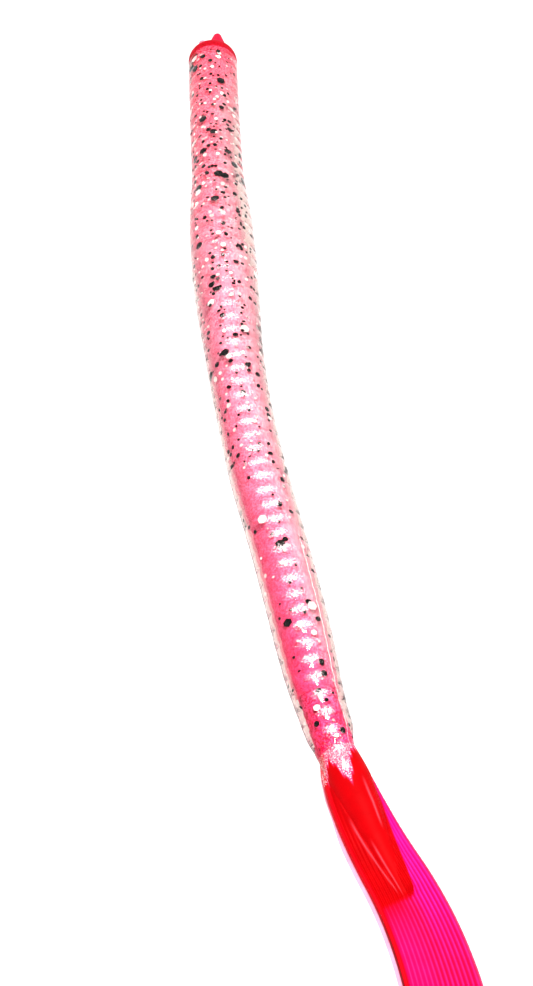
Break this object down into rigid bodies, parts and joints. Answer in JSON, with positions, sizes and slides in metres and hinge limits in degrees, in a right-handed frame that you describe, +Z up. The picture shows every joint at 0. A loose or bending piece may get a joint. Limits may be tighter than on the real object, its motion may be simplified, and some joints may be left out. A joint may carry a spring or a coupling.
{
  "type": "soft plastic worm",
  "caption": "Long soft fishing worm: clear ringed body with glitter flakes round a pink core, tapering to a flat ridged ribbon tail that curls to one side.",
  "frame": {"origin": "middle of the worm's bounding box, on the plane it lies on", "axes": "+Y toward the nose, +Z up from the plane it lies on"},
  "size_m": [0.0336, 0.1768, 0.0087],
  "materials": {
    "clear_soft_plastic": "clear, glossy soft vinyl",
    "pink_core": "translucent soft vinyl",
    "black_flake": "glossy flake",
    "silver_flake": "bright metallised flake",
    "red_tail": "translucent soft vinyl",
    "pink_ribbon": "glossy soft vinyl, fine ridges"
  },
  "bodies": {
    "body_1": {"clear_body_1": "clear_soft_plastic", "core_1": "pink_core", "black_flakes_1": "black_flake", "silver_flakes_1": "silver_flake"},
    "body_2": {"clear_body_2": "clear_soft_plastic", "core_2": "pink_core", "black_flakes_2": "black_flake", "silver_flakes_2": "silver_flake"},
    "body_3": {"clear_body_3": "clear_soft_plastic", "core_3": "pink_core", "black_flakes_3": "black_flake", "silver_flakes_3": "silver_flake"},
    "body_4": {"clear_body_4": "clear_soft_plastic", "core_4": "pink_core", "black_flakes_4": "black_flake", "silver_flakes_4": "silver_flake"},
    "body_5": {"clear_body_5": "clear_soft_plastic", "core_5": "pink_core", "black_flakes_5": "black_flake", "silver_flakes_5": "silver_flake"},
    "body_6": {"clear_body_6": "clear_soft_plastic", "core_6": "pink_core", "black_flakes_6": "black_flake", "silver_flakes_6": "silver_flake"},
    "body_7": {"clear_body_7": "clear_soft_plastic", "core_7": "pink_core", "black_flakes_7": "black_flake", "silver_flakes_7": "silver_flake"},
    "body_8": {"clear_body_8": "clear_soft_plastic", "core_8": "pink_core", "black_flakes_8": "black_flake", "silver_flakes_8": "silver_flake"},
    "tail_base": {"tail_root": "red_tail"},
    "tail_1": {"ribbon_1": "pink_ribbon"},
    "tail_2": {"ribbon_2": "pink_ribbon"},
    "tail_3": {"ribbon_3": "pink_ribbon"},
    "tail_4": {"ribbon_4": "pink_ribbon"},
    "tail_5": {"ribbon_5": "pink_ribbon"}
  },
  "joints": [
    {"name": "head_sideways", "type": "hinge", "parent": "body_2", "child": "body_1", "pos_m": [-0.01262, 0.06849, 0.00369], "axis": [0, 0, 1], "range_deg": [-20, 20], "stiffness_Nm_per_rad": 0.00197},
    {"name": "neck_lift", "type": "hinge", "parent": "body_3", "child": "body_2", "pos_m": [-0.01182, 0.05451, 0.0043], "axis": [0.998, 0.0632, 0], "range_deg": [0, 20], "stiffness_Nm_per_rad": 0.00216},
    {"name": "collar_sideways", "type": "hinge", "parent": "body_4", "child": "body_3", "pos_m": [-0.01084, 0.04054, 0.00438], "axis": [0, 0, 1], "range_deg": [-20, 20], "stiffness_Nm_per_rad": 0.00389},
    {"name": "front_lift", "type": "hinge", "parent": "body_4", "child": "body_5", "pos_m": [-0.0095, 0.02661, 0.00422], "axis": [-0.9932, -0.1161, 0], "range_deg": [0, 20], "stiffness_Nm_per_rad": 0.00245},
    {"name": "middle_sideways", "type": "hinge", "parent": "body_5", "child": "body_6", "pos_m": [-0.00739, 0.01277, 0.00367], "axis": [0, 0, 1], "range_deg": [-20, 20], "stiffness_Nm_per_rad": 0.00169},
    {"name": "rear_lift", "type": "hinge", "parent": "body_6", "child": "body_7", "pos_m": [-0.00436, -0.00089, 0.00348], "axis": [-0.9715, -0.237, 0], "range_deg": [0, 20], "stiffness_Nm_per_rad": 0.00146},
    {"name": "rear_sideways", "type": "hinge", "parent": "body_7", "child": "body_8", "pos_m": [-0.00128, -0.01455, 0.00335], "axis": [0, 0, 1], "range_deg": [-20, 20], "stiffness_Nm_per_rad": 0.00124},
    {"name": "tail_sideways", "type": "hinge", "parent": "body_8", "child": "tail_base", "pos_m": [0.00207, -0.02813, 0.00294], "axis": [0, 0, 1], "range_deg": [-20, 20], "stiffness_Nm_per_rad": 0.000482},
    {"name": "ribbon_flap_1", "type": "hinge", "parent": "tail_base", "child": "tail_1", "pos_m": [0.00985, -0.04544, 0.00045], "axis": [-0.9277, -0.3733, 0], "range_deg": [0, 28], "stiffness_Nm_per_rad": 0.000012},
    {"name": "ribbon_flap_2", "type": "hinge", "parent": "tail_1", "child": "tail_2", "pos_m": [0.01276, -0.05805, 0.00045], "axis": [-0.9984, -0.0573, 0], "range_deg": [0, 28], "stiffness_Nm_per_rad": 0.000012},
    {"name": "ribbon_flap_3", "type": "hinge", "parent": "tail_2", "child": "tail_3", "pos_m": [0.01079, -0.0708, 0.00045], "axis": [-0.9313, 0.3642, 0], "range_deg": [0, 28], "stiffness_Nm_per_rad": 0.000012},
    {"name": "ribbon_flap_4", "type": "hinge", "parent": "tail_3", "child": "tail_4", "pos_m": [0.00389, -0.08047, 0.00045], "axis": [-0.6475, 0.762, 0], "range_deg": [0, 28], "stiffness_Nm_per_rad": 0.000012},
    {"name": "ribbon_flap_5", "type": "hinge", "parent": "tail_4", "child": "tail_5", "pos_m": [-0.00698, -0.08508, 0.00045], "axis": [-0.0872, 0.9962, 0], "range_deg": [0, 28], "stiffness_Nm_per_rad": 0.000012}
  ]
}
